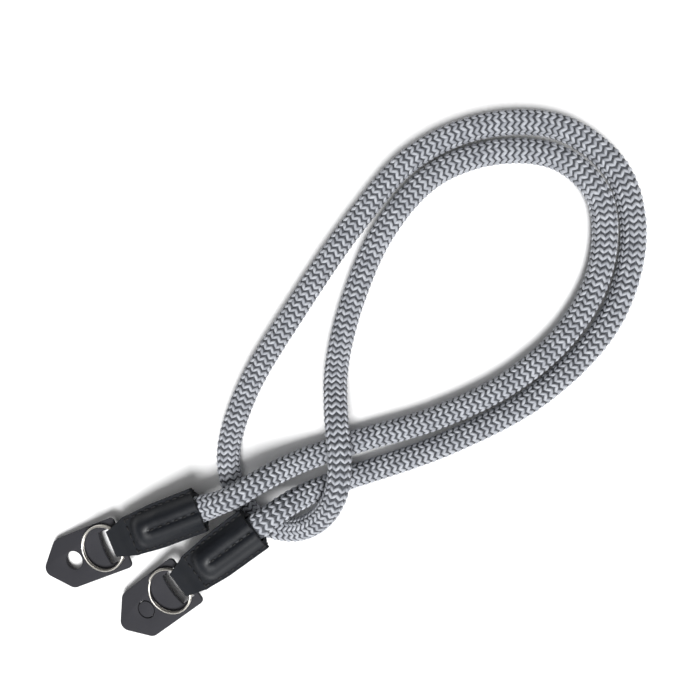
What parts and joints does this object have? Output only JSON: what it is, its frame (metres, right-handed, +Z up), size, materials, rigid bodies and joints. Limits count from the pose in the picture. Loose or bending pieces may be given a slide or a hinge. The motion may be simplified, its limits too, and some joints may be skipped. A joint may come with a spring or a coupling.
{
  "type": "camera neck strap",
  "caption": "Camera neck strap of round braided rope in a doubled loop, each end held in a stitched leather end with a split ring and a pointed leather protector tab.",
  "frame": {"origin": "on the floor, under the middle of the two leather ends' bounding box with their tabs and rings", "axes": "+Z up from the floor the strap lies on, +X along the longer side of the leather ends' bounding box, from the tabs towards the rope loop, +Y towards the side that the loop lies on"},
  "size_m": [0.2541, 0.2213, 0.0226],
  "materials": {
    "braid": "grey herringbone braid of light and dark yarns",
    "leather": "black, smooth with a soft sheen",
    "tab_leather": "dark grey, matt",
    "ring": "bright nickel plating"
  },
  "bodies": {
    "root": {"neck_rope": "braid", "leather_end_a": "leather", "leather_end_b": "leather", "protector_tab_a": "tab_leather", "protector_tab_b": "tab_leather", "split_ring_a": "ring", "split_ring_b": "ring"}
  },
  "joints": []
}
